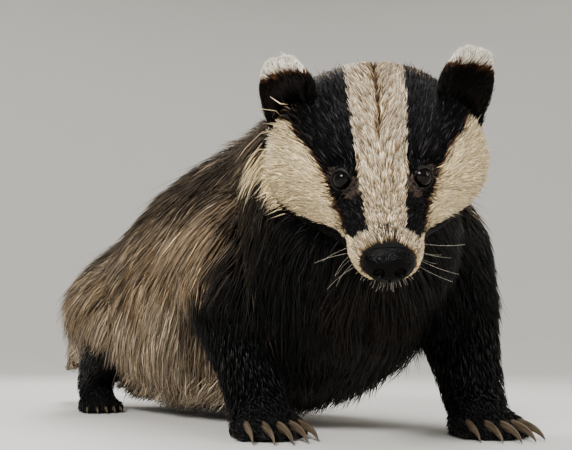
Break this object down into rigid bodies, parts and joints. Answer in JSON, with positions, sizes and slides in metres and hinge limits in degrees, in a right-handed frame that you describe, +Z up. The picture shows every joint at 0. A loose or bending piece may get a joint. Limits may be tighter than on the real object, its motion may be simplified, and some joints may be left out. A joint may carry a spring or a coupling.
{
  "type": "european badger",
  "caption": "Life-size European badger standing on all fours, its striped head lowered and turned to its right, with a long shaggy coat on neck, back and tail.",
  "frame": {"origin": "centre of the bounding box's bottom face, on the floor under the chest and belly", "axes": "+Z up, the rump and tail towards +Y, the muzzle towards -Y and turned to -X, the animal's left side towards +X"},
  "size_m": [0.285, 0.7966, 0.2916],
  "materials": {
    "face_fur": "short dense fur, cream white with two black stripes",
    "body_coat": "long coarse grizzled guard hair, grey brown with dark bands and pale tips",
    "leg_fur": "short black fur",
    "ear": "black fur with a cream white rim",
    "nose": "bare black pebbled skin, moist",
    "eye": "wet glossy near-black eye"
  },
  "bodies": {
    "root": {"head": "face_fur", "lower_jaw": "face_fur", "nose": "nose", "ear_left": "ear", "ear_right": "ear", "eye_left": "eye", "eye_right": "eye", "neck": "body_coat", "torso": "body_coat", "tail": "body_coat", "foreleg_left": "leg_fur", "foreleg_right": "leg_fur", "hindleg_left": "leg_fur", "hindleg_right": "leg_fur", "forepaw_left": "leg_fur", "forepaw_right": "leg_fur", "hindpaw_left": "leg_fur", "hindpaw_right": "leg_fur"}
  },
  "joints": []
}
